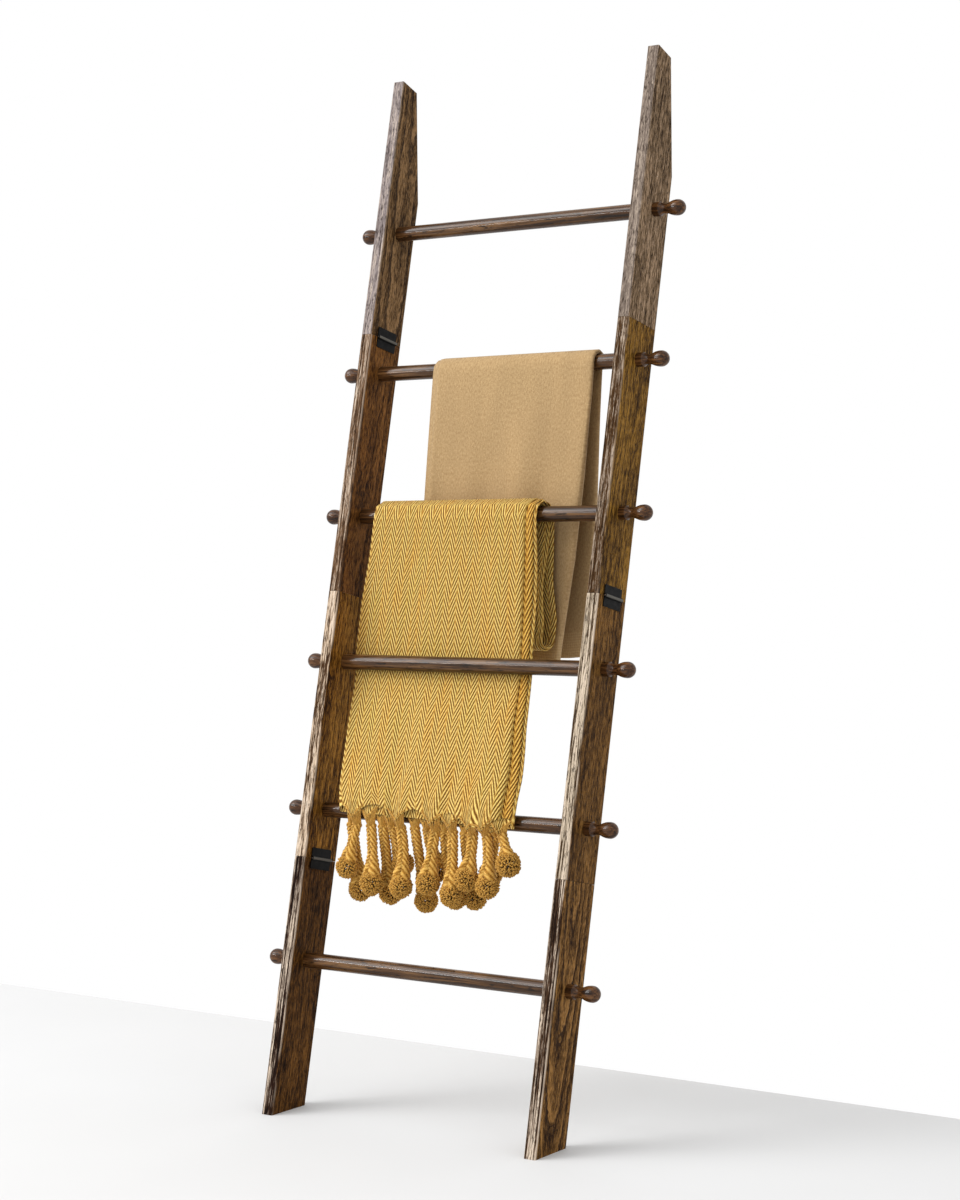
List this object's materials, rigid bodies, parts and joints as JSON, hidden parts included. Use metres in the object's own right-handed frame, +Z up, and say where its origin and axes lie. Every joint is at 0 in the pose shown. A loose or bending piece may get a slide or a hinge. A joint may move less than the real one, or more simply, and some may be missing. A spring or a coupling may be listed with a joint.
{
  "type": "blanket ladder with folded blankets",
  "caption": "Leaning wooden blanket ladder with hinged stiles, round rungs and turned hook pegs, carrying a folded blanket and a tasselled throw.",
  "frame": {"origin": "on the floor, at the middle of the footprint of the leaning ladder", "axes": "+X along the rungs to the right as seen from the front, +Y towards the wall it leans on, +Z up"},
  "size_m": [0.5594, 0.3692, 1.4907],
  "materials": {
    "stile_wood": "brushed and torched, satin",
    "rung_wood": "smooth, satin lacquer",
    "stud_steel": "zinc plated",
    "insert_brass": "plain",
    "black_hinge": "matte black",
    "pin_steel": "dark plated",
    "blanket_fabric": "soft brushed weave",
    "throw_fabric": "herringbone weave",
    "tassel_yarn": "braided yarn and cut-pile pom-poms"
  },
  "bodies": {
    "root": {"hinge_pins": "pin_steel", "hinge_screws": "black_hinge", "left_foot_board": "stile_wood", "left_high_hinge_lower_leaf": "black_hinge", "left_high_hinge_upper_leaf": "black_hinge", "left_low_hinge_lower_leaf": "black_hinge", "left_low_hinge_upper_leaf": "black_hinge", "left_lower_board": "stile_wood", "left_middle_hinge_lower_leaf": "black_hinge", "left_middle_hinge_upper_leaf": "black_hinge", "left_top_board": "stile_wood", "left_upper_board": "stile_wood", "right_foot_board": "stile_wood", "right_high_hinge_lower_leaf": "black_hinge", "right_high_hinge_upper_leaf": "black_hinge", "right_low_hinge_lower_leaf": "black_hinge", "right_low_hinge_upper_leaf": "black_hinge", "right_lower_board": "stile_wood", "right_middle_hinge_lower_leaf": "black_hinge", "right_middle_hinge_upper_leaf": "black_hinge", "right_top_board": "stile_wood", "right_upper_board": "stile_wood", "rung_1": "rung_wood", "rung_2": "rung_wood", "rung_3": "rung_wood", "rung_4": "rung_wood", "rung_5": "rung_wood", "rung_6": "rung_wood", "rung_inserts": "insert_brass"},
    "left_peg_body_1": {"left_peg_1": "rung_wood", "left_stud_1": "stud_steel"},
    "left_peg_body_2": {"left_peg_2": "rung_wood", "left_stud_2": "stud_steel"},
    "left_peg_body_3": {"left_peg_3": "rung_wood", "left_stud_3": "stud_steel"},
    "left_peg_body_4": {"left_peg_4": "rung_wood", "left_stud_4": "stud_steel"},
    "left_peg_body_5": {"left_peg_5": "rung_wood", "left_stud_5": "stud_steel"},
    "left_peg_body_6": {"left_peg_6": "rung_wood", "left_stud_6": "stud_steel"},
    "right_peg_body_1": {"right_peg_1": "rung_wood", "right_stud_1": "stud_steel"},
    "right_peg_body_2": {"right_peg_2": "rung_wood", "right_stud_2": "stud_steel"},
    "right_peg_body_3": {"right_peg_3": "rung_wood", "right_stud_3": "stud_steel"},
    "right_peg_body_4": {"right_peg_4": "rung_wood", "right_stud_4": "stud_steel"},
    "right_peg_body_5": {"right_peg_5": "rung_wood", "right_stud_5": "stud_steel"},
    "right_peg_body_6": {"right_peg_6": "rung_wood", "right_stud_6": "stud_steel"},
    "blanket": {"tan_blanket": "blanket_fabric"},
    "throw": {"mustard_throw": "throw_fabric", "throw_tassels": "tassel_yarn"}
  },
  "joints": [
    {"name": "left_peg_1_unscrews", "type": "slide", "parent": "root", "child": "left_peg_body_1", "axis": [-1, 0, 0], "range_m": [0, 0.05]},
    {"name": "left_peg_2_unscrews", "type": "slide", "parent": "root", "child": "left_peg_body_2", "axis": [-1, 0, 0], "range_m": [0, 0.05]},
    {"name": "left_peg_3_unscrews", "type": "slide", "parent": "root", "child": "left_peg_body_3", "axis": [-1, 0, 0], "range_m": [0, 0.05]},
    {"name": "left_peg_4_unscrews", "type": "slide", "parent": "root", "child": "left_peg_body_4", "axis": [-1, 0, 0], "range_m": [0, 0.05]},
    {"name": "left_peg_5_unscrews", "type": "slide", "parent": "root", "child": "left_peg_body_5", "axis": [-1, 0, 0], "range_m": [0, 0.05]},
    {"name": "left_peg_6_unscrews", "type": "slide", "parent": "root", "child": "left_peg_body_6", "axis": [-1, 0, 0], "range_m": [0, 0.05]},
    {"name": "right_peg_1_unscrews", "type": "slide", "parent": "root", "child": "right_peg_body_1", "axis": [1, 0, 0], "range_m": [0, 0.05]},
    {"name": "right_peg_2_unscrews", "type": "slide", "parent": "root", "child": "right_peg_body_2", "axis": [1, 0, 0], "range_m": [0, 0.05]},
    {"name": "right_peg_3_unscrews", "type": "slide", "parent": "root", "child": "right_peg_body_3", "axis": [1, 0, 0], "range_m": [0, 0.05]},
    {"name": "right_peg_4_unscrews", "type": "slide", "parent": "root", "child": "right_peg_body_4", "axis": [1, 0, 0], "range_m": [0, 0.05]},
    {"name": "right_peg_5_unscrews", "type": "slide", "parent": "root", "child": "right_peg_body_5", "axis": [1, 0, 0], "range_m": [0, 0.05]},
    {"name": "right_peg_6_unscrews", "type": "slide", "parent": "root", "child": "right_peg_body_6", "axis": [1, 0, 0], "range_m": [0, 0.05]},
    {"name": "blanket_slides", "type": "slide", "parent": "root", "child": "blanket", "axis": [1, 0, 0], "range_m": [-0.06, 0.04]},
    {"name": "throw_slides", "type": "slide", "parent": "root", "child": "throw", "axis": [1, 0, 0], "range_m": [-0.006, 0.058]}
  ]
}
